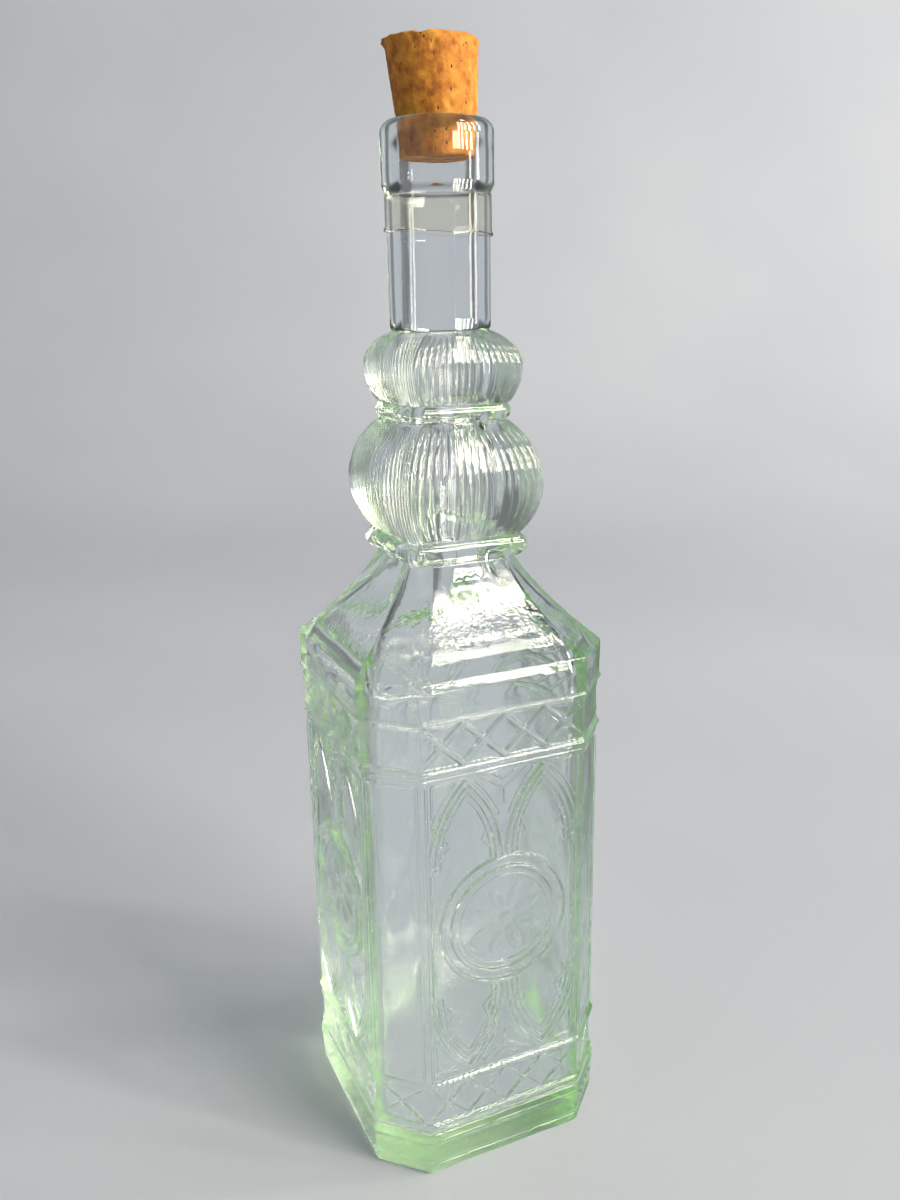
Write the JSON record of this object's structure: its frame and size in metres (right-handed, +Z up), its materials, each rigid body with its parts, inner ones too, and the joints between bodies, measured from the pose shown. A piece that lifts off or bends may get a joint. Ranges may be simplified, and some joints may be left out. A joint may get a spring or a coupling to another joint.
{
  "type": "glass bottle",
  "caption": "Tall square glass bottle with cut corners, embossed gothic arches and medallions, stepped square bulbs, a round neck and a tapered cork.",
  "frame": {"origin": "centre of the flat base the bottle stands on", "axes": "+Z up the bottle to the cork; X and Y square to the four embossed panels"},
  "size_m": [0.073, 0.073, 0.3],
  "materials": {
    "bottle_glass": "clear pressed recycled glass with a faint green tint in its thick edges",
    "cork": "natural cork, matte, with dark pores",
    "clear_film": "thin clear film"
  },
  "bodies": {
    "root": {"glass_bottle": "bottle_glass", "cork_stopper": "cork", "neck_sleeve": "clear_film"}
  },
  "joints": []
}
